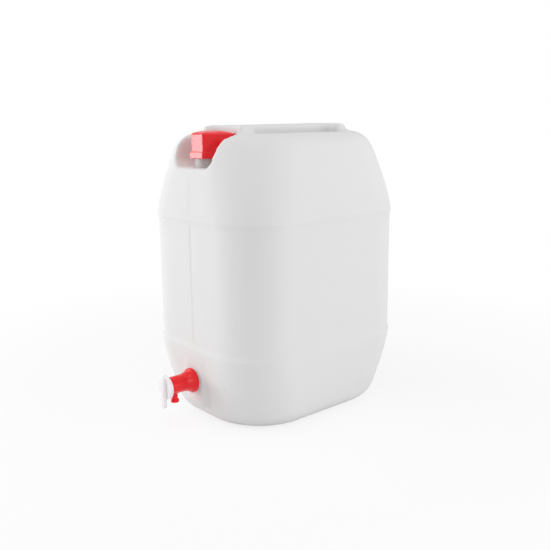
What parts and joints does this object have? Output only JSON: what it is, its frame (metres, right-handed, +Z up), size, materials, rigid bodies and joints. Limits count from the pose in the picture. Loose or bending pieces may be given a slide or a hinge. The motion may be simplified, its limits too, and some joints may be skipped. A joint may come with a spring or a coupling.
{
  "type": "carboy with spigot",
  "caption": "Blow-moulded rectangular carboy with a moulded-in grip, a lugged screw cap set in a front pocket and a quarter-turn plug tap low on the front wall.",
  "frame": {"origin": "bottom centre of the whole part, tap included", "axes": "+Z up, -Y towards the tap and the neck, +X across the wide faces"},
  "size_m": [0.2414, 0.3438, 0.388],
  "materials": {
    "natural_polyethylene": "satin, translucent natural polyethylene",
    "red_plastic": "glossy moulded red",
    "white_plastic": "translucent white",
    "liner_foam": "soft foamed disc",
    "seal_rubber": "pale flat seal"
  },
  "bodies": {
    "tank": {"tank": "natural_polyethylene", "tap_body": "red_plastic", "tap_gasket": "seal_rubber"},
    "cap_seal": {"cap_liner": "liner_foam"},
    "cap": {"cap": "red_plastic"},
    "tap_valve": {"tap_plug": "white_plastic"}
  },
  "joints": [
    {"name": "cap_lift", "type": "slide", "parent": "tank", "child": "cap_seal", "axis": [0, 0, 1], "range_m": [0, 0.036]},
    {"name": "cap_turn", "type": "hinge", "parent": "cap_seal", "child": "cap", "pos_m": [0, -0.0871, 0.36], "axis": [0, 0, 1], "range_deg": [0, 2160]},
    {"name": "tap_turn", "type": "hinge", "parent": "tank", "child": "tap_valve", "pos_m": [0, -0.1526, 0.057], "axis": [0, 1, 0], "range_deg": [0, 90]}
  ],
  "couplings": [
    {"joint": "cap_lift", "follows": "cap_turn", "m_per_rad": 0.00095493}
  ]
}
